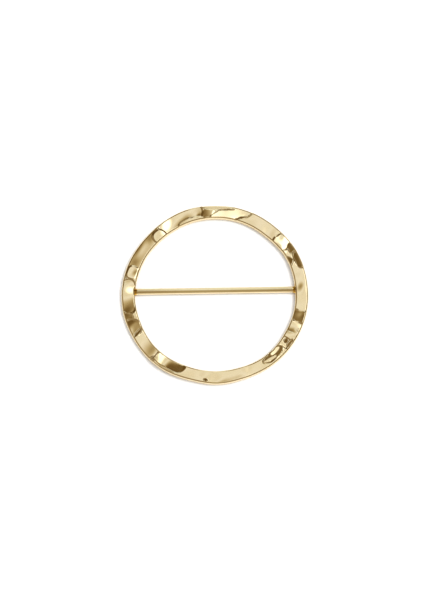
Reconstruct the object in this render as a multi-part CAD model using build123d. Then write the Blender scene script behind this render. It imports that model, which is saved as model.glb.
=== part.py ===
from build123d import *
from collections import namedtuple
import math
import os

# Scarf clip: a flat ring, hammered on its upper face, with a straight round bar soldered across it.
# Lengths are in millimetres. X runs along the bar, Y towards twelve o'clock and Z up from the surface
# that the clip lies on. The origin is the centre of the clip's box, on that surface.
# Angles are in degrees, clockwise from twelve o'clock as seen from above.

# Driving dimensions
OUTER_DIAMETER = 50.0
BAND_WIDTH = 3.16
BAND_THICKNESS = 1.9
TOP_EDGE_RADIUS = 0.4
BOTTOM_EDGE_RADIUS = 0.2
BAR_DIAMETER = 1.7
BAR_OFFSET = 1.0
BAR_CLEARANCE = 0.05
SOLDER_LENGTH = 0.8
SOLDER_FLARE = 0.3
SOLDER_TAPER = 0.15

# Sizes that follow from them
OUTER_RADIUS = OUTER_DIAMETER / 2
INNER_RADIUS = OUTER_RADIUS - BAND_WIDTH
BAR_RADIUS = BAR_DIAMETER / 2
BAR_HEIGHT = BAR_CLEARANCE + BAR_RADIUS
BAR_WALL = math.sqrt(INNER_RADIUS**2 - BAR_OFFSET**2)

# The hand-made ring isn't quite round. Each row says how far its outer and inner edges stand out
# from their circles there, in shares of the band's width.
Station = namedtuple("Station", "angle outer inner")
STATIONS = [
    Station(0, 0.125, -0.05),
    Station(15, 0.18, -0.015),
    Station(30, 0.175, -0.045),
    Station(45, 0.135, -0.07),
    Station(60, 0.15, 0.02),
    Station(75, 0.095, -0.01),
    Station(90, 0.065, -0.04),
    Station(105, 0.065, -0.035),
    Station(120, 0.05, -0.07),
    Station(135, 0.03, -0.01),
    Station(150, -0.01, -0.01),
    Station(165, -0.03, -0.085),
    Station(180, 0.045, -0.08),
    Station(195, -0.005, -0.085),
    Station(210, 0.11, -0.07),
    Station(225, 0.14, 0.0),
    Station(240, 0.075, -0.05),
    Station(255, 0.1, -0.085),
    Station(270, 0.075, -0.075),
    Station(285, 0.025, -0.145),
    Station(300, -0.05, -0.165),
    Station(315, -0.08, -0.205),
    Station(330, 0.015, -0.17),
    Station(345, 0.13, -0.09),
]

# The hammer's blows on the upper face. across is the place of a blow's lowest point between the
# inner edge, 0, and the outer edge, 1. reach and spread are half its length along the band and half
# its width across it, in shares of the band's width, turn swings its length from the tangent, and
# depth is a share of the band's thickness.
Blow = namedtuple("Blow", "angle across reach spread turn depth")
BLOWS = [
    Blow(12, 0.45, 1.8, 0.85, 18, 0.13),
    Blow(34, 0.5, 1.9, 1.3, 0, 0.06),
    Blow(52, 0.5, 0.9, 0.95, -8, 0.13),
    Blow(59.5, 1.1, 0.75, 0.6, 0, 0.11),
    Blow(68, 1.1, 0.8, 0.62, 0, 0.12),
    Blow(65.3, -0.08, 0.6, 0.6, 0, 0.11),
    Blow(86, 0.45, 2.2, 1.3, 0, 0.07),
    Blow(107.2, 0.5, 0.65, 1.1, 0, 0.15),
    Blow(117.5, 0.45, 0.9, 1.1, 0, 0.1),
    Blow(127.3, 0.5, 0.52, 0.75, 0, 0.11),
    Blow(126, 0.42, 0.22, 0.22, 0, 0.15),
    Blow(136.2, 0.28, 0.6, 0.22, -3, 0.09),
    Blow(141.8, 0.54, 0.66, 0.22, -4, 0.1),
    Blow(158, 0.5, 1.9, 1.4, 0, 0.06),
    Blow(187.4, 0.76, 0.14, 0.12, 0, 0.1),
    Blow(212.5, 0.32, 1.45, 0.6, 0, 0.15),
    Blow(232.5, 0.5, 1.3, 1.3, 0, 0.07),
    Blow(247.2, 0.9, 0.85, 0.95, 0, 0.15),
    Blow(263.5, 0.56, 1.1, 0.8, 0, 0.14),
    Blow(276.5, 0.5, 0.6, 1.0, 0, 0.12),
    Blow(286.8, 0.3, 0.58, 0.6, 0, 0.1),
    Blow(302, 0.55, 1.45, 0.8, 0, 0.13),
    Blow(318.5, 0.05, 0.68, 0.66, 0, 0.08),
    Blow(328, 0.45, 0.85, 0.95, 0, 0.12),
    Blow(341, 0.65, 1.4, 0.65, 0, 0.13),
    Blow(344, -0.05, 1.15, 0.42, 0, 0.1),
    Blow(355.3, 0.5, 0.52, 0.85, 0, 0.12),
]

# The solder collar that joins the bar to the band. along is a share of the collar's length, 1 at the
# band's inner wall and more inside the band. wider and lower are shares of its flare and its taper.
Collar = namedtuple("Collar", "along wider lower")
COLLAR = [
    Collar(0, 0, 0),
    Collar(0.45, 0.15, 0.3),
    Collar(0.8, 0.5, 0.7),
    Collar(1, 1, 1),
    Collar(1.3, 2, 1.3),
]


def on_ring(angle, radius):
    """The point at a clock angle and a distance from the ring's centre."""
    turn = math.radians(angle)
    return radius * math.sin(turn), radius * math.cos(turn)


def edge_outline(mean_radius, column):
    """The face inside one of the ring's two wavering edges."""
    points = [on_ring(row.angle, mean_radius + BAND_WIDTH * getattr(row, column)) for row in STATIONS]
    return make_face(Spline(*points, periodic=True))


def flat_band():
    """The ring before hammering, with its upper and lower corners rounded."""
    section = edge_outline(OUTER_RADIUS, "outer") - edge_outline(INNER_RADIUS, "inner")
    band = extrude(section, BAND_THICKNESS)
    band = fillet(band.edges().group_by(Axis.Z)[-1], TOP_EDGE_RADIUS)
    return fillet(band.edges().group_by(Axis.Z)[0], BOTTOM_EDGE_RADIUS)


def bowl_radius(half_chord, depth):
    """The radius of the arc that is depth deep over a chord of twice half_chord."""
    return (half_chord**2 + depth**2) / (2 * depth)


def hammer_face(blow):
    """The barrel-shaped tool of one blow, standing on the blow's lowest point."""
    depth = blow.depth * BAND_THICKNESS
    radii = (
        bowl_radius(blow.reach * BAND_WIDTH, depth),
        bowl_radius(blow.spread * BAND_WIDTH, depth),
    )
    long_radius, short_radius = max(radii), min(radii)
    half_length = math.sqrt(long_radius**2 - (long_radius - short_radius) ** 2)
    ends = (-half_length, 0), (half_length, 0)
    profile = ThreePointArc(ends[0], (0, -short_radius), ends[1]) + Line(ends[1], ends[0])
    barrel = revolve(make_face(profile), Axis.X)
    lengthwise = 0 if radii[0] >= radii[1] else 90
    x, y = on_ring(blow.angle, INNER_RADIUS + blow.across * BAND_WIDTH)
    lowest = BAND_THICKNESS - depth
    return Pos(x, y, lowest + short_radius) * Rot(0, 0, lengthwise + blow.turn - blow.angle) * barrel


def across_bar(x):
    """The plane across the bar at x, its own X axis level."""
    return Plane(origin=(x, 0, 0), x_dir=(0, 1, 0), z_dir=(1, 0, 0))


def solder_collar():
    """The bar's right end, widened by hollow-sided solder where it runs into the band."""
    sections = [
        across_bar(BAR_WALL + (row.along - 1) * SOLDER_LENGTH)
        * Ellipse(BAR_RADIUS + row.wider * SOLDER_FLARE, BAR_RADIUS - row.lower * SOLDER_TAPER)
        for row in COLLAR
    ]
    return loft(sections)


def crossbar():
    """The round bar with a solder collar at both ends."""
    collar = solder_collar()
    bar = Cylinder(BAR_RADIUS, 2 * (BAR_WALL - SOLDER_LENGTH), rotation=(0, 90, 0))
    return Pos(0, BAR_OFFSET, BAR_HEIGHT) * (bar + collar + Rot(0, 0, 180) * collar)


def ring_with_bar():
    """The whole clip as one solid, its box centred over the origin."""
    band = flat_band()
    for blow in BLOWS:
        band = band - hammer_face(blow)
    clip = band + crossbar()
    middle = clip.bounding_box().center()
    return Pos(-middle.X, -middle.Y, 0) * clip


os.makedirs("parts", exist_ok=True)
clip = ring_with_bar()
export_step(clip, "parts/ring_with_bar.step")
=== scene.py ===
import math
from collections import namedtuple

import bpy
import numpy as np
from mathutils import Matrix, Vector


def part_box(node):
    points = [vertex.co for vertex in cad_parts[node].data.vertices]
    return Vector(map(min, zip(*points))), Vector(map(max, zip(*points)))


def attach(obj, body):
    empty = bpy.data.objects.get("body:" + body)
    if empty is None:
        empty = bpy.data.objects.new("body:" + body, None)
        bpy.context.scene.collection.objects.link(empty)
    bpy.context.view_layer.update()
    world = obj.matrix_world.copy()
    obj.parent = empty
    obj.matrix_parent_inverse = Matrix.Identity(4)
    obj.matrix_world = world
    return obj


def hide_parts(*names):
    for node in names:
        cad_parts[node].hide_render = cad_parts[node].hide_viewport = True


# Scarf clip: a flat ring, hammered on its upper face, with a straight round bar soldered across it.
# Lengths are worked out in millimetres and become metres when a mesh is made. Angles are in
# degrees, clockwise from twelve o'clock as seen from above. X runs along the bar and Z up from the
# floor.

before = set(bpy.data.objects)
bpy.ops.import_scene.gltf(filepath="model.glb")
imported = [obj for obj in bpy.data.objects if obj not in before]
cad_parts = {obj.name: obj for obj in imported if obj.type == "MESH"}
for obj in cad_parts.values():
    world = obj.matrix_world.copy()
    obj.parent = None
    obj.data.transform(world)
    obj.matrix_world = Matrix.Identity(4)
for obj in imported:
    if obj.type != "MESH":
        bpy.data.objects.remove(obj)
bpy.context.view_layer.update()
NODE = "ring_with_bar"
MM = 0.001

# Sizes of the clip, as in the CAD model, but for a slightly rounder top edge
OUTER_RADIUS = 25.0
BAND_WIDTH = 3.16
BAND_THICKNESS = 1.9
TOP_EDGE_RADIUS = 0.42
BOTTOM_EDGE_RADIUS = 0.2
BAR_RADIUS = 0.85
BAR_OFFSET = 1.0
BAR_HEIGHT = 0.9
SOLDER_LENGTH = 0.8
SOLDER_FLARE = 0.3
SOLDER_TAPER = 0.15
INNER_RADIUS = OUTER_RADIUS - BAND_WIDTH
BAR_WALL = math.sqrt(INNER_RADIUS**2 - BAR_OFFSET**2)

# How far the outer and inner edges stand out from their circles, in shares of the band's width.
Station = namedtuple("Station", "angle outer inner")
STATIONS = [
    Station(0, 0.125, -0.05),
    Station(15, 0.18, -0.015),
    Station(30, 0.175, -0.045),
    Station(45, 0.135, -0.07),
    Station(60, 0.15, 0.02),
    Station(75, 0.095, -0.01),
    Station(90, 0.065, -0.04),
    Station(105, 0.065, -0.035),
    Station(120, 0.05, -0.07),
    Station(135, 0.03, -0.01),
    Station(150, -0.01, -0.01),
    Station(165, -0.03, -0.085),
    Station(180, 0.045, -0.08),
    Station(195, -0.005, -0.085),
    Station(210, 0.11, -0.07),
    Station(225, 0.14, 0.0),
    Station(240, 0.075, -0.05),
    Station(255, 0.1, -0.085),
    Station(270, 0.075, -0.075),
    Station(285, 0.025, -0.145),
    Station(300, -0.05, -0.165),
    Station(315, -0.08, -0.205),
    Station(330, 0.015, -0.17),
    Station(345, 0.13, -0.09),
]

# The two ways most blows face, as clock angles: towards the lamp that the gold mirrors, and away.
LIT, SHADE = 121, 301

# The hammer's blows, in the order struck. across is the place of a blow's middle between the inner
# edge, 0, and the outer edge, 1. reach and spread are half its length along the band and half its
# width across it, turn swings its length from the tangent, and power squares its outline. The
# floor of a blow dips, in degrees, towards facing, a clock angle; the dip falls by ease from its
# middle to its clockwise end and by side to its outer side. sink is how far its middle lies below
# the flat face and rim is the width of its sloping edge. reach, spread and rim are shares of the
# band's width and sink of its thickness. lip is how much of the rim is a bowl's, steepest at the
# outline. A1, A3, C1, M1 and N1 are narrow tilted strips, for the dark ridges beside other blows.
Blow = namedtuple(
    "Blow", "name angle across reach spread turn power dip ease side facing sink rim lip"
)
BLOWS = [
    Blow("T", 337.5, 0.5, 2.2, 1.3, 0, 4, -0.3, 0, 0.8, SHADE, 0.05, 0.2, 0),
    Blow("V", 356.3, 0.42, 0.55, 0.85, -20, 3, 2.6, 1.0, 2.0, SHADE, -0.02, 0.2, 0),
    Blow("B", 34, 0.5, 1.95, 1.2, 0, 4, 0, 0, 0, SHADE, 0.05, 0.12, 0),
    Blow("A", 12, 0.49, 2.04, 0.72, 24, 2, 2.3, 0.5, 0, 95, 0.07, 0.2, 0),
    Blow("A1", 18.8, 0.3, 0.66, 0.14, 33, 2, 6.5, 0, 0, SHADE, 0.085, 0.12, 0),
    Blow("A2", 3.5, 1.15, 1.5, 0.47, 3, 2, 0.6, 0, 0, SHADE, 0.1, 0.16, 0),
    Blow("A3", 8.6, 0.79, 0.75, 0.1, 10, 2, 4.0, 0, 0, SHADE, 0.07, 0.09, 0),
    Blow("C", 52.3, 0.5, 0.84, 0.94, -10, 2, 2.4, -0.2, 0, LIT, 0.05, 0.2, 0),
    Blow("C1", 47.3, 0.74, 0.09, 0.36, -20, 2, 6.0, 0, 0, SHADE, 0.025, 0.06, 0),
    Blow("D1", 60.3, 1.0, 0.74, 0.56, 0, 2, 6.4, 0, 0, 278, -0.03, 0.16, 0),
    Blow("D2", 67.8, 1.04, 0.9, 0.56, 0, 2.5, 6.8, 0, 1.0, 278, -0.03, 0.16, 0),
    Blow("E", 66.6, 0.0, 0.6, 0.56, 0, 1.3, 7.0, 0, 0, SHADE, 0.03, 0.12, 0),
    Blow("G", 106.8, 0.5, 0.7, 1.6, 0, 3, 6.0, -0.6, 0, SHADE, 0.0, 0.34, 0),
    Blow("H", 113.8, 0.5, 0.5, 1.6, -4, 3, 0.9, 0, 0, LIT, 0.0, 0.34, 0),
    Blow("H3", 121.3, 0.4, 0.34, 1.6, 6, 3, 1.4, 0, 0, LIT, -0.02, 0.1, 0),
    Blow("I", 127.3, 0.45, 0.5, 0.78, 0, 3, 1.2, 0, 0, 60, 0.04, 0.16, 0),
    Blow("I1", 126, 0.42, 0.25, 0.25, 0, 2, 7.4, 0, 0, SHADE, 0.05, 0.07, 0),
    Blow("I2", 126.3, 0.8, 0.52, 0.2, 0, 2, 6, 0, 0, SHADE, 0.05, 0.1, 0),
    Blow("J", 139, 0.43, 1.16, 0.44, 1, 2, 6.2, 0, 0, SHADE, 0.06, 0.11, 0),
    Blow("J1", 136.2, 0.27, 0.56, 0.19, -3, 2, 1.6, 0, 0, 100, 0.08, 0.06, 0),
    Blow("J2", 142.3, 0.53, 0.7, 0.17, -9, 2, 0.4, 0, 0, LIT, 0.045, 0.06, 0),
    Blow("K", 187, 0.5, 4.9, 1.6, 0, 4, 0.3, -0.3, 0, LIT, 0, 0.12, 0),
    Blow("K3", 187.4, 0.74, 0.2, 0.14, 0, 2, 14, 0, 0, SHADE, 0.02, 0.06, 0),
    Blow("M", 214.6, 0.35, 1.6, 0.65, 0, 3, 1.0, 2.9, -1.4, SHADE, 0.17, 0.24, 0.3),
    Blow("L", 233.8, 0.4, 1.36, 1.15, 0, 4, 0.5, 0, 0, LIT, 0.135, 0.16, 0),
    Blow("M1", 223.7, 0.4, 0.1, 0.72, 0, 3, 7.0, 0, 0, SHADE, 0.145, 0.05, 0),
    Blow("N0", 254.8, 0.85, 0.55, 0.55, 0, 2, 3.6, 0, 0, 275, 0.145, 0.12, 0),
    Blow("N", 247.2, 0.94, 0.88, 1.08, 0, 2, 2.3, -1.5, 1.5, 280, 0.13, 0.16, 0.4),
    Blow("N1", 243.1, 0.5, 0.15, 0.55, 22, 2, 4.5, 0, 0, SHADE, 0.13, 0.1, 0),
    Blow("R", 300.5, 0.5, 2.7, 1.3, 0, 4, 0.3, 0, 0, SHADE, 0.05, 0.24, 0),
    Blow("O", 269, 0.6, 1.62, 0.8, 0, 2.5, 1.9, 0.7, 0, 275, 0.135, 0.16, 0.4),
    Blow("P", 286, 0.42, 0.66, 0.52, -9, 2.5, 1.4, 0, 0, LIT, 0, 0.16, 0),
    Blow("S", 318.3, 0.1, 0.7, 0.68, 0, 2.1, 1.9, 0, 0, LIT, -0.01, 0.19, 0),
    Blow("U", 344, 0.0, 1.25, 0.36, 0, 2, 1.4, 0, 0, LIT, 0.005, 0.16, 0),
]

# Soft hollows left by lighter taps. depth is a share of the band's thickness.
Tap = namedtuple("Tap", "angle across reach spread turn depth")
TAPS = [
    Tap(41, 0.4, 0.6, 0.7, 0, 0.02),
    Tap(106, 0.7, 0.25, 0.3, 0, 0.014),
    Tap(157.6, 0.68, 0.41, 0.6, 0, 0.012),
    Tap(194, 0.4, 0.6, 0.6, 0, 0.02),
    Tap(246, 0.85, 0.3, 0.3, 0, 0.012),
    Tap(341, 0.7, 0.5, 0.4, 0, 0.014),
]

# Places where the face leans softly by dip, towards facing, most at the middle.
Lean = namedtuple("Lean", "angle across reach spread turn dip facing")
LEANS = [
    Lean(18.6, 0.3, 0.5, 0.2, 30, 1.0, SHADE),
    Lean(23.4, 0.68, 0.45, 0.17, 31, 3.0, SHADE),
    Lean(38, 0.45, 0.8, 0.8, 0, 0.5, LIT),
    Lean(49, 0.95, 0.35, 0.35, 0, 3.4, SHADE),
    Lean(55, 0.1, 0.4, 0.14, 8, 4.5, SHADE),
    Lean(77.5, 0.5, 0.6, 1.0, 0, 1.5, SHADE),
    Lean(86, 0.44, 0.5, 0.55, 0, 5.2, 280),
    Lean(101, 0.35, 0.5, 0.8, 0, 1.4, SHADE),
    Lean(118.2, 0.3, 0.5, 1.2, 8, 5.6, SHADE),
    Lean(159, 0.5, 0.8, 1.2, 0, 1.5, 90),
    Lean(173, 0.9, 1.6, 0.35, 0, 2.4, SHADE),
    Lean(176.5, 0.78, 0.8, 0.5, 0, 1.4, SHADE),
    Lean(188.5, 0.5, 0.6, 0.8, 0, 1.0, SHADE),
    Lean(212, 0.8, 1.0, 0.4, 0, 2.2, SHADE),
    Lean(210.5, 0.0, 0.9, 0.35, 0, 2.2, LIT),
    Lean(219.5, 0.3, 0.9, 0.8, 0, 6.0, 110),
    Lean(228, 0.05, 0.8, 0.35, 0, 0.9, SHADE),
    Lean(238, 0.7, 0.7, 0.7, 0, 0.9, 100),
    Lean(245, 0.95, 0.4, 0.35, 0, 2.2, LIT),
    Lean(251.4, 0.75, 0.3, 0.5, 0, 2.0, SHADE),
    Lean(259, 0.8, 0.4, 0.5, 0, 2.0, 290),
    Lean(273.2, 0.3, 0.75, 1.6, 0, 7.0, 100),
    Lean(286.3, 0.16, 0.35, 0.4, 0, 3.0, SHADE),
    Lean(293, 0.5, 0.5, 0.6, 0, 1.5, SHADE),
    Lean(303, 0.85, 0.8, 0.35, 0, 2.6, SHADE),
    Lean(312, 0.5, 0.4, 0.6, 0, 1.6, SHADE),
    Lean(327, 0.5, 1.1, 0.9, 0, 5.0, 92),
    Lean(340, 0.32, 0.6, 0.3, 0, 1.2, SHADE),
    Lean(350, 0.33, 0.3, 0.2, 0, 3.0, SHADE),
    Lean(346, 0.8, 0.7, 0.5, 0, 1.2, 100),
]

# How far the flat face lies below the band's thickness, and how far the deepest place may, in
# shares of the thickness
GROUND = 0.12
DEEPEST = 0.6

# The face rolls in slow waves by ROLL, a share of the band's thickness, and the blows' outlines
# bend in others by BEND, a share of its width. length is in shares of the width and heading is a
# clock angle.
Wave = namedtuple("Wave", "length heading phase")
ROLL = 0.009
ROLL_WAVES = [Wave(2.8, 20, 0.0), Wave(2.2, 100, 1.0), Wave(3.8, 60, 2.0)]
BEND = 0.03
BEND_WAVES_ALONG = [Wave(1.0, 10, 0.5), Wave(1.4, 75, 1.7), Wave(0.7, 130, 0.2)]
BEND_WAVES_ACROSS = [Wave(0.85, 50, 2.5), Wave(1.2, 160, 0.9), Wave(0.75, 95, 4.0)]

# Keeps the middle of a blow from dividing by nothing
TINY = 1e-6

# How finely the band is divided: steps round it, and in each stretch of its section
STEPS_ROUND = 1660
TOP_STEPS, CORNER_STEPS, WALL_STEPS, FOOT_STEPS, UNDER_STEPS = 34, 6, 3, 3, 2


def rise(value):
    """0 below 0, 1 above 1, and a smooth rise between."""
    value = np.clip(value, 0, 1)
    return value * value * (3 - 2 * value)


def on_ring(angle, radius):
    """The point at a clock angle and a distance from the ring's centre."""
    return radius * np.sin(np.radians(angle)), radius * np.cos(np.radians(angle))


def periodic_spline(knots, values, period, at):
    """A smooth closed curve of values through evenly spaced knots."""
    count = len(knots)
    step = period / count
    values = np.array(values, float)
    system = np.zeros((count, count))
    for row in range(count):
        system[row, (row - 1) % count] = 1
        system[row, row] = 4
        system[row, (row + 1) % count] = 1
    bend = 6 / step**2 * (np.roll(values, 1) - 2 * values + np.roll(values, -1))
    moments = np.linalg.solve(system, bend)
    place = np.mod(at, period) / step
    low = np.floor(place).astype(int) % count
    high = (low + 1) % count
    past = place - np.floor(place)
    ahead = 1 - past
    return (
        ahead * values[low]
        + past * values[high]
        + ((ahead**3 - ahead) * moments[low] + (past**3 - past) * moments[high]) * step**2 / 6
    )


def edge_radius(angle, mean_radius, column):
    """The radius of one of the ring's two wavering edges at clock angles."""
    knots = [row.angle for row in STATIONS]
    shares = [getattr(row, column) for row in STATIONS]
    return mean_radius + BAND_WIDTH * periodic_spline(knots, shares, 360, angle)


def waver(x, y, size, waves):
    """The mean of some waves at points of the face, times size."""
    total = 0
    for wave in waves:
        heading = math.radians(wave.heading)
        along = (x * math.sin(heading) + y * math.cos(heading)) / (wave.length * BAND_WIDTH)
        total = total + np.sin(2 * math.pi * along + wave.phase)
    return size * total / len(waves)


def from_blow(mark, angle, radius):
    """Distances along and across a blow, tap or lean from its middle."""
    along = np.radians((angle - mark.angle + 180) % 360 - 180) * radius
    across = radius - (INNER_RADIUS + mark.across * BAND_WIDTH)
    turn = math.radians(mark.turn)
    return (
        along * math.cos(turn) + across * math.sin(turn),
        across * math.cos(turn) - along * math.sin(turn),
    )


def distance_towards(mark, x, y):
    """How far points lie from a mark's middle in the direction that it faces."""
    middle = on_ring(mark.angle, INNER_RADIUS + mark.across * BAND_WIDTH)
    facing = math.radians(mark.facing)
    return (x - middle[0]) * math.sin(facing) + (y - middle[1]) * math.cos(facing)


def beaten(angle, radius):
    """How far the hammered face lies below the band's thickness."""
    x, y = on_ring(angle, radius)
    height = 0 * x
    bent_angle = angle + np.degrees(waver(x, y, BEND * BAND_WIDTH, BEND_WAVES_ALONG) / radius)
    bent_radius = radius + waver(x, y, BEND * BAND_WIDTH, BEND_WAVES_ACROSS)
    for blow in BLOWS:
        along, across = from_blow(blow, bent_angle, bent_radius)
        share_along = along / (blow.reach * BAND_WIDTH)
        share_across = across / (blow.spread * BAND_WIDTH)
        power = blow.power
        reach = (np.abs(share_along) ** power + np.abs(share_across) ** power) ** (1 / power)
        reach = np.maximum(reach, TINY)
        depth = np.clip((1 / reach - 1) * np.hypot(along, across) / (blow.rim * BAND_WIDTH), 0, 1)
        inside = (1 - blow.lip) * rise(depth) + blow.lip * depth * (2 - depth)
        dip = blow.dip - blow.ease * share_along - blow.side * share_across
        slope = np.tan(np.radians(dip))
        floor = -blow.sink * BAND_THICKNESS - slope * distance_towards(blow, x, y)
        height = height * (1 - inside) + floor * inside
    height = height + waver(x, y, ROLL * BAND_THICKNESS, ROLL_WAVES)
    for tap in TAPS:
        along, across = from_blow(tap, angle, radius)
        shape = (along / tap.reach) ** 2 + (across / tap.spread) ** 2
        height = height - tap.depth * BAND_THICKNESS * np.exp(-shape / BAND_WIDTH**2)
    for lean in LEANS:
        along, across = from_blow(lean, angle, radius)
        shape = (along / lean.reach) ** 2 + (across / lean.spread) ** 2
        downhill = distance_towards(lean, x, y) * math.tan(math.radians(lean.dip))
        height = height - downhill * np.exp(-shape / BAND_WIDTH**2)
    return np.minimum(GROUND * BAND_THICKNESS - height, DEEPEST * BAND_THICKNESS)


def mesh_piece(name, points, faces, material):
    """A smooth-shaded mesh object from points in millimetres."""
    mesh = bpy.data.meshes.new(name)
    mesh.from_pydata([tuple(point) for point in (np.asarray(points) * MM).tolist()], [], faces)
    mesh.update()
    mesh.polygons.foreach_set("use_smooth", [True] * len(mesh.polygons))
    mesh.materials.append(material)
    piece = bpy.data.objects.new(name, mesh)
    bpy.context.scene.collection.objects.link(piece)
    return piece


def closed_grid(rows, columns):
    """The faces of a grid of points that closes on itself both ways."""
    row, column = np.meshgrid(np.arange(rows), np.arange(columns), indexing="ij")
    next_row, next_column = (row + 1) % rows, (column + 1) % columns
    corners = [
        row * columns + column,
        next_row * columns + column,
        next_row * columns + next_column,
        row * columns + next_column,
    ]
    return np.stack(corners, -1).reshape(-1, 4).tolist()


def band_points():
    """The band's surface, section by section: over the top from the inner edge, then under."""
    angle = np.arange(STEPS_ROUND) * 360 / STEPS_ROUND
    outer = edge_radius(angle, OUTER_RADIUS, "outer")
    inner = edge_radius(angle, INNER_RADIUS, "inner")
    columns = []

    def top(radius, drop):
        columns.append((radius, BAND_THICKNESS - beaten(angle, radius) - drop))

    quarter = math.pi / 2
    for step in range(CORNER_STEPS):
        turn = quarter * step / CORNER_STEPS
        top(inner + TOP_EDGE_RADIUS * (1 - math.cos(turn)), TOP_EDGE_RADIUS * (1 - math.sin(turn)))
    first, last = inner + TOP_EDGE_RADIUS, outer - TOP_EDGE_RADIUS
    for step in range(TOP_STEPS):
        top(first + (last - first) * step / TOP_STEPS, 0)
    for step in range(CORNER_STEPS + 1):
        turn = quarter * step / CORNER_STEPS
        top(last + TOP_EDGE_RADIUS * math.sin(turn), TOP_EDGE_RADIUS * (1 - math.cos(turn)))
    outer_lip, inner_lip = columns[-1][1], columns[0][1]
    for step in range(1, WALL_STEPS):
        share = step / WALL_STEPS
        columns.append((outer, outer_lip + (BOTTOM_EDGE_RADIUS - outer_lip) * share))
    for step in range(FOOT_STEPS):
        turn = quarter * step / FOOT_STEPS
        foot = BOTTOM_EDGE_RADIUS * (1 - math.sin(turn)) + 0 * angle
        columns.append((outer - BOTTOM_EDGE_RADIUS * (1 - math.cos(turn)), foot))
    for step in range(UNDER_STEPS):
        share = step / UNDER_STEPS
        start, end = outer - BOTTOM_EDGE_RADIUS, inner + BOTTOM_EDGE_RADIUS
        columns.append((start + (end - start) * share, 0 * angle))
    for step in range(FOOT_STEPS + 1):
        turn = quarter * step / FOOT_STEPS
        foot = BOTTOM_EDGE_RADIUS * (1 - math.cos(turn)) + 0 * angle
        columns.append((inner + BOTTOM_EDGE_RADIUS * (1 - math.sin(turn)), foot))
    for step in range(1, WALL_STEPS):
        share = step / WALL_STEPS
        columns.append((inner, BOTTOM_EDGE_RADIUS + (inner_lip - BOTTOM_EDGE_RADIUS) * share))
    radius = np.stack([column[0] for column in columns], 1)
    height = np.stack([column[1] for column in columns], 1)
    x, y = on_ring(angle[:, None], radius)
    return np.stack([x, y, height], -1), len(columns)


# The bar's radii along its right half. along is a share of the collar's length, 1 at the band's
# inner wall and more inside the band. wider and lower are shares of the solder's flare and taper.
Collar = namedtuple("Collar", "along wider lower")
COLLAR = [
    Collar(0, 0, 0),
    Collar(0.45, 0.15, 0.3),
    Collar(0.8, 0.5, 0.7),
    Collar(1, 1, 1),
    Collar(1.3, 2, 1.3),
]
BAR_STEPS, BAR_SIDES = 260, 56


def bar_points():
    """The bar and its two solder collars, ring of points by ring of points."""
    end = BAR_WALL + (COLLAR[-1].along - 1) * SOLDER_LENGTH
    x = np.sin(np.linspace(-1, 1, BAR_STEPS) * math.pi / 2) * end
    along = (np.abs(x) - BAR_WALL) / SOLDER_LENGTH + 1
    stops = [row.along for row in COLLAR]
    wider = SOLDER_FLARE * np.interp(along, stops, [row.wider for row in COLLAR])
    lower = SOLDER_TAPER * np.interp(along, stops, [row.lower for row in COLLAR])
    turn = np.arange(BAR_SIDES) * 2 * math.pi / BAR_SIDES
    y = BAR_OFFSET + (BAR_RADIUS + wider)[:, None] * np.cos(turn)
    z = BAR_HEIGHT + (BAR_RADIUS - lower)[:, None] * np.sin(turn)
    return np.stack([x[:, None] + 0 * y, y, z], -1)


def bar_faces():
    """The bar's sides and its two end caps, inside the band but for the top of the left one."""
    faces = []
    for ring in range(BAR_STEPS - 1):
        for side in range(BAR_SIDES):
            beside = (side + 1) % BAR_SIDES
            low, high = ring * BAR_SIDES, (ring + 1) * BAR_SIDES
            faces.append((low + side, low + beside, high + beside, high + side))
    faces.append(tuple(reversed(range(BAR_SIDES))))
    last = (BAR_STEPS - 1) * BAR_SIDES
    faces.append(tuple(range(last, last + BAR_SIDES)))
    return faces


class Value:
    """A shader value. Each operator on it adds a Math node."""

    def __init__(self, nodes, socket):
        self.nodes, self.socket = nodes, socket

    def math(self, operation, *terms):
        node = self.nodes.add("ShaderNodeMath", {"operation": operation}, dict(enumerate(terms)))
        return Value(self.nodes, node.outputs[0])

    def __add__(self, other):
        return self.math("ADD", self, other)

    def __sub__(self, other):
        return self.math("SUBTRACT", self, other)

    def __rsub__(self, other):
        return self.math("SUBTRACT", other, self)

    def __mul__(self, other):
        return self.math("MULTIPLY", self, other)

    def __truediv__(self, other):
        return self.math("DIVIDE", self, other)

    def __abs__(self):
        return self.math("ABSOLUTE", self)

    __radd__, __rmul__ = __add__, __mul__


class Nodes:
    """The node tree of a material or of the surrounding."""

    def __init__(self, tree):
        self.tree = tree
        tree.nodes.clear()

    def add(self, kind, settings=None, values=None):
        """One node: its settings first, then what its sockets hold or are linked to."""
        node = self.tree.nodes.new(kind)
        for name, setting in (settings or {}).items():
            if name == "stops":
                self.fill_ramp(node.color_ramp, setting)
            else:
                setattr(node, name, setting)
        for name, value in (values or {}).items():
            if isinstance(value, Value):
                value = value.socket
            if isinstance(value, bpy.types.NodeSocket):
                self.tree.links.new(value, node.inputs[name])
            else:
                node.inputs[name].default_value = value
        return node

    def fill_ramp(self, ramp, stops):
        """Gives a colour ramp its stops, each a position and a colour."""
        while len(ramp.elements) < len(stops):
            ramp.elements.new(0.5)
        for element, (position, _) in zip(ramp.elements, stops):
            element.position = position
        for element, (_, colour) in zip(ramp.elements, stops):
            element.color = (*colour, 1)

    def value(self, socket):
        return Value(self, socket)

    def step(self, value, low, high):
        """A smooth rise from 0 to 1 as value goes from low to high."""
        settings = {"interpolation_type": "SMOOTHSTEP"}
        node = self.add("ShaderNodeMapRange", settings, {0: value, 1: low, 2: high, 3: 0.0, 4: 1.0})
        return Value(self, node.outputs[0])

    def blend(self, share, first, second):
        """A colour that goes from first to second with share."""
        settings = {"data_type": "RGBA"}
        colours = {"Factor": share, 6: first, 7: second}
        return self.add("ShaderNodeMix", settings, colours).outputs[2]


def opaque(colour):
    return (*colour, 1)


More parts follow.
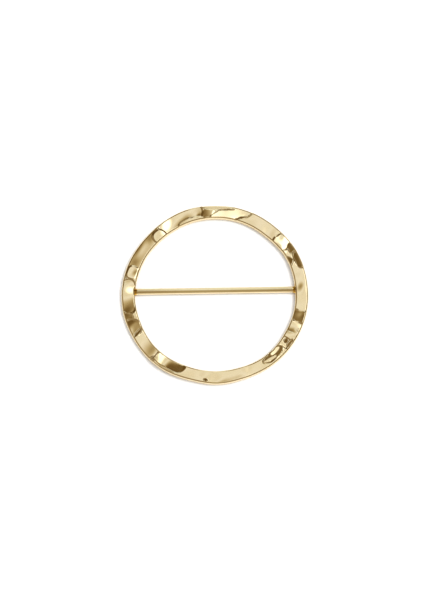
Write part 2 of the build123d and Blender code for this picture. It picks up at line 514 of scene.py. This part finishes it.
def gold_plate():
    """Polished yellow gold plate, softly uneven in gloss and tone, with a painted amber reflection
    at the solder.
    """
    material = bpy.data.materials.new("gold_plate")
    material.use_nodes = True
    nodes = Nodes(material.node_tree)
    place = nodes.add("ShaderNodeTexCoord").outputs["Object"]
    clouds = {"Vector": place, "Scale": CLOUD_SCALE, "Detail": CLOUD_DETAIL}
    cloud = nodes.add("ShaderNodeTexNoise", {}, clouds)
    grains = {"Vector": place, "Scale": GRAIN_SCALE, "Detail": GRAIN_DETAIL}
    grain = nodes.add("ShaderNodeTexNoise", {}, grains)
    cloud, grain = nodes.value(cloud.outputs[0]), nodes.value(grain.outputs[0])
    tone = nodes.blend(nodes.step(cloud, *WARMTH_STEP), opaque(GOLD_PALE), opaque(GOLD_WARM))
    split = nodes.add("ShaderNodeSeparateXYZ", {}, {0: place})
    across_ring, up_ring, _ = (nodes.value(socket) for socket in split.outputs)
    across_ring = abs(across_ring)
    # Painted reflection: amber is blended into the base colour at the solder joints for the deep
    # reflections in their fillets.
    joint_reflection = nodes.step(across_ring, *SOLDER_STARTS) * nodes.step(across_ring, *SOLDER_ENDS)
    joint_reflection = joint_reflection * nodes.step(abs(up_ring - SOLDER_LEVEL), *SOLDER_FADES)
    tone = nodes.blend(joint_reflection, tone, opaque(JOINT_REFLECTION_AMBER))
    relief = {"Strength": BUMP_STRENGTH, "Distance": BUMP_HEIGHT, "Height": grain}
    bump = nodes.add("ShaderNodeBump", {}, relief)
    skin = {
        "Base Color": tone,
        "Metallic": 1.0,
        "Roughness": LEAST_ROUGHNESS + CLOUD_ROUGHNESS * cloud + GRAIN_ROUGHNESS * grain,
        "Normal": bump.outputs[0],
    }
    metal = nodes.add("ShaderNodeBsdfPrincipled", {}, skin)
    nodes.add("ShaderNodeOutputMaterial", {}, {"Surface": metal.outputs[0]})
    return material


# The plate's two tones, and where in the clouds it goes from one to the other
GOLD_PALE = (0.93, 0.77, 0.50)
GOLD_WARM = (0.91, 0.75, 0.47)
WARMTH_STEP = (0.35, 0.65)

# Its clouds and its far finer grain, how rough each makes it, and the grain's height in metres
CLOUD_SCALE, CLOUD_DETAIL = 180.0, 3.0
GRAIN_SCALE, GRAIN_DETAIL = 1500.0, 2.0
LEAST_ROUGHNESS, CLOUD_ROUGHNESS, GRAIN_ROUGHNESS = 0.05, 0.04, 0.02
BUMP_STRENGTH, BUMP_HEIGHT = 0.01, 0.00001

# The amber painted at the solder joints as the deep reflections in their fillets, and where it
# shows, in metres. Each pair says where it is nil and where it is full, the first two going out
# from the clip's middle and the last going up or down from its level.
JOINT_REFLECTION_AMBER = (0.80, 0.47, 0.08)
SOLDER_STARTS = (0.0209, 0.0213)
SOLDER_ENDS = (0.0219, 0.0216)
SOLDER_LEVEL = 0.001
SOLDER_FADES = (0.0015, 0.001)

# The surrounding as the metal mirrors it, drawn so that the gold has the photograph's lights and
# darks. It is a map from above: directions go by their level parts. HOME is where a flat part of
# the ring looks, for the photograph's camera. LAMP_LEVEL is how strong the whole map is. TONES runs
# from the shade side through HOME, at 0, towards the lamp side. They and the colours down to WALL
# are as the gold, of colour GOLD, then shows them. OVER_BAR and UNDER_BAR give the bar its light
# and dark bands, and LOW_ROOM and WALL keep low views golden. PALE_ROOM is the plain room that all
# other rays see.
HOME = (0.026, 0.30)
TO_LAMP = (0.857, -0.514)
LAMP_LEVEL = 2.6
GOLD = (0.92, 0.76, 0.49)
Tone = namedtuple("Tone", "at colour")
TONES = [
    Tone(-0.45, (0.110, 0.055, 0.011)),
    Tone(-0.20, (0.150, 0.080, 0.018)),
    Tone(-0.15, (0.200, 0.115, 0.030)),
    Tone(-0.115, (0.320, 0.205, 0.070)),
    Tone(-0.08, (0.500, 0.355, 0.145)),
    Tone(-0.045, (0.680, 0.530, 0.290)),
    Tone(0.0, (0.850, 0.720, 0.470)),
    Tone(0.03, (0.820, 0.690, 0.435)),
    Tone(0.06, (0.760, 0.620, 0.365)),
    Tone(0.15, (0.760, 0.620, 0.365)),
    Tone(0.22, (0.400, 0.275, 0.105)),
    Tone(0.30, (0.150, 0.085, 0.021)),
]
LAMP = (1.9, 1.66, 1.08)
DARK_NORTH = (0.15, 0.082, 0.018)
DARK_SOUTH = (0.28, 0.18, 0.07)
NORTH = (0.78, 0.68, 0.42)
OVER_BAR = (0.86, 0.77, 0.49)
UNDER_BAR = (0.42, 0.30, 0.125)
LOW_ROOM = (0.44, 0.325, 0.145)
WALL = (0.40, 0.29, 0.13)
PALE_ROOM = (0.82, 0.81, 0.80)

# Where the map's other tones lie. Each pair says where a tone is nil and where it is full: lampward
# or sideways, along the way to the lamp or across it, east or north, all four from HOME, or up. The
# lamp's near and north edges lie aslant.
DARK_SOUTH_SIDEWAYS = (-0.15, -0.28)
DARK_NORTH_SIDEWAYS = (0.11, 0.22)
LAMP_NEAR_SLANT, LAMP_NEAR_EDGE = 0.55, (0.07, 0.15)
LAMP_FAR_EDGE = (0.28, 0.21)
LAMP_NORTH_SLANT, LAMP_NORTH_EDGE = 0.8, (0.13, 0.06)
NORTH_START, NORTH_HALF_WIDTH = (0.26, 0.36), (0.14, 0.07)
OVER_BAR_START, UNDER_BAR_START = (0.06, 0.18), (-0.2, -0.3)
BAR_HALF_WIDTH = (0.045, 0.025)
LOW_ROOM_TOP = (0.55, 0.42)
FAR_NORTH_SIDEWAYS, FAR_NORTH_EAST = (0.42, 0.57), (0.16, 0.05)
WALL_TOP = (0.14, 0.05)


def mirrored(colour):
    """What the map has to hold for the gold to show a colour, as a share of LAMP_LEVEL."""
    return opaque(shown / gold / LAMP_LEVEL for shown, gold in zip(colour, GOLD))


def studio():
    """The surrounding: the drawn map for mirror rays, and a plain pale room for all other rays."""
    world = bpy.data.worlds.new("studio")
    bpy.context.scene.world = world
    world.use_nodes = True
    nodes = Nodes(world.node_tree)
    way = nodes.add("ShaderNodeTexCoord").outputs["Generated"]
    split = nodes.add("ShaderNodeSeparateXYZ", {}, {0: way})
    east, north, up = (nodes.value(socket) for socket in split.outputs)
    east, north = east - HOME[0], north - HOME[1]
    lampward = east * TO_LAMP[0] + north * TO_LAMP[1]
    sideways = north * TO_LAMP[0] - east * TO_LAMP[1]
    low, high = TONES[0].at, TONES[-1].at
    stops = [((tone.at - low) / (high - low), mirrored(tone.colour)[:3]) for tone in TONES]
    ramp = nodes.add("ShaderNodeValToRGB", {"stops": stops}, {0: (lampward - low) / (high - low)})
    in_south = nodes.step(sideways, *DARK_SOUTH_SIDEWAYS)
    scene = nodes.blend(in_south, ramp.outputs[0], mirrored(DARK_SOUTH))
    scene = nodes.blend(nodes.step(sideways, *DARK_NORTH_SIDEWAYS), scene, mirrored(DARK_NORTH))
    in_lamp = nodes.step(lampward + LAMP_NEAR_SLANT * sideways, *LAMP_NEAR_EDGE)
    in_lamp = in_lamp * nodes.step(lampward, *LAMP_FAR_EDGE)
    in_lamp = in_lamp * nodes.step(sideways - LAMP_NORTH_SLANT * lampward, *LAMP_NORTH_EDGE)
    scene = nodes.blend(in_lamp, scene, mirrored(LAMP))
    in_north = nodes.step(north, *NORTH_START) * nodes.step(abs(east), *NORTH_HALF_WIDTH)
    scene = nodes.blend(in_north, scene, mirrored(NORTH))
    over_bar = nodes.step(north, *OVER_BAR_START) * nodes.step(abs(east), *BAR_HALF_WIDTH)
    scene = nodes.blend(over_bar, scene, mirrored(OVER_BAR))
    under_bar = nodes.step(north, *UNDER_BAR_START) * nodes.step(abs(east), *BAR_HALF_WIDTH)
    scene = nodes.blend(under_bar, scene, mirrored(UNDER_BAR))
    scene = nodes.blend(nodes.step(up, *LOW_ROOM_TOP), scene, mirrored(LOW_ROOM))
    far_north = nodes.step(sideways, *FAR_NORTH_SIDEWAYS) * nodes.step(east, *FAR_NORTH_EAST)
    scene = nodes.blend(far_north, scene, mirrored(NORTH))
    wall = nodes.step(up, *WALL_TOP) * (1 - far_north)
    scene = nodes.blend(wall, scene, mirrored(WALL))
    mirror = nodes.value(nodes.add("ShaderNodeLightPath").outputs["Is Glossy Ray"])
    scene = nodes.blend(mirror, opaque(part / LAMP_LEVEL for part in PALE_ROOM), scene)
    light = nodes.add("ShaderNodeBackground", {}, {"Color": scene, "Strength": LAMP_LEVEL})
    nodes.add("ShaderNodeOutputWorld", {}, {"Surface": light.outputs[0]})


# The main light's strength, how wide it looks, its colour, and its clock angle and angle above the
# floor
KEY_STRENGTH, KEY_SPREAD = 2.0, 30
KEY_COLOUR = (1.0, 0.99, 0.97)
KEY_CLOCK, KEY_LIFT = 80, 63


def key_light():
    """The soft main light, from the right. Mirror rays don't see it."""
    lamp = bpy.data.lights.new("key", "SUN")
    lamp.energy = KEY_STRENGTH
    lamp.angle = math.radians(KEY_SPREAD)
    lamp.color = KEY_COLOUR
    key = bpy.data.objects.new("key", lamp)
    turn, lift = math.radians(KEY_CLOCK), math.radians(KEY_LIFT)
    level = math.cos(lift)
    way = Vector((math.sin(turn) * level, math.cos(turn) * level, math.sin(lift)))
    key.rotation_euler = way.to_track_quat("Z", "Y").to_euler()
    key.visible_glossy = False
    bpy.context.scene.collection.objects.link(key)


# The floor's two tones, how fine their clouds are, how rough it is, and the disc's radius and sides
FLOOR_TONE = (0.9, 0.9, 0.9)
FLOOR_TONE_PALER = (0.92, 0.92, 0.92)
FLOOR_CLOUD_SCALE = 40.0
FLOOR_ROUGHNESS = 0.9
FLOOR_RADIUS, FLOOR_SIDES = 4000.0, 96


def floor_disc():
    """The pale floor, far larger than the clip."""
    material = bpy.data.materials.new("pale_floor")
    material.use_nodes = True
    nodes = Nodes(material.node_tree)
    place = nodes.add("ShaderNodeTexCoord").outputs["Object"]
    cloud = nodes.add("ShaderNodeTexNoise", {}, {"Vector": place, "Scale": FLOOR_CLOUD_SCALE})
    pale, paler = opaque(FLOOR_TONE), opaque(FLOOR_TONE_PALER)
    tone = nodes.blend(nodes.value(cloud.outputs[0]), pale, paler)
    skin = {"Base Color": tone, "Roughness": FLOOR_ROUGHNESS, "Specular IOR Level": 0.0}
    paper = nodes.add("ShaderNodeBsdfPrincipled", {}, skin)
    nodes.add("ShaderNodeOutputMaterial", {}, {"Surface": paper.outputs[0]})
    angles = [360 * side / FLOOR_SIDES for side in range(FLOOR_SIDES)]
    rim = [(*on_ring(angle, FLOOR_RADIUS), 0.0) for angle in angles]
    floor = mesh_piece("floor", rim, [tuple(reversed(range(FLOOR_SIDES)))], material)


# The photograph's camera: its clock angle, its angle above the floor and its distance from the
# place near the ring's centre that it is aimed at, and how far it rolls. Its lens and sensor are in
# millimetres, and NEAR and FAR, the stretch that it sees, in metres.
CAMERA_CLOCK = 185.0
CAMERA_LIFT = 72.5
CAMERA_DISTANCE = 449.4
CAMERA_ROLL = 3.92
CAMERA_AIM = (0.0, -1.07, 0.0)
SENSOR_HEIGHT = 36.0
FOCAL_LENGTH = 100.0
NEAR, FAR = 0.005, 50.0


def photograph_camera(centre):
    """The camera where the photograph was taken from, aimed near the ring's centre."""
    lens = bpy.data.cameras.new("camera")
    lens.sensor_fit = "VERTICAL"
    lens.sensor_height = SENSOR_HEIGHT
    lens.lens = FOCAL_LENGTH
    lens.clip_start, lens.clip_end = NEAR, FAR
    camera = bpy.data.objects.new("camera", lens)
    turn, lift = math.radians(CAMERA_CLOCK), math.radians(CAMERA_LIFT)
    level = math.cos(lift)
    back = Vector((math.sin(turn) * level, math.cos(turn) * level, math.sin(lift)))
    aim = Vector(CAMERA_AIM) + centre
    upright = back.to_track_quat("Z", "Y").to_matrix().to_4x4()
    roll = Matrix.Rotation(math.radians(CAMERA_ROLL), 4, "Z")
    camera.matrix_world = Matrix.Translation((aim + back * CAMERA_DISTANCE) * MM) @ upright @ roll
    bpy.context.scene.collection.objects.link(camera)
    bpy.context.scene.camera = camera


def make_clip():
    """The ring and the bar, placed over the CAD solid that they stand for."""
    gold = gold_plate()
    points, columns = band_points()
    low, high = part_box(NODE)
    centre = (low + high) / 2 / MM
    flat = points.reshape(-1, 3)
    own = (flat.min(0) + flat.max(0)) / 2
    shift = np.array([centre.x - own[0], centre.y - own[1], 0])
    band = mesh_piece("hammered_ring", flat + shift, closed_grid(STEPS_ROUND, columns), gold)
    bar = mesh_piece("crossbar", bar_points().reshape(-1, 3) + shift, bar_faces(), gold)
    for piece in (band, bar):
        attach(piece, "root")
        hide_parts(NODE)
    return Vector(shift)


centre = make_clip()
floor_disc()
studio()
key_light()
photograph_camera(centre)
bpy.context.scene.view_settings.view_transform = "Standard"
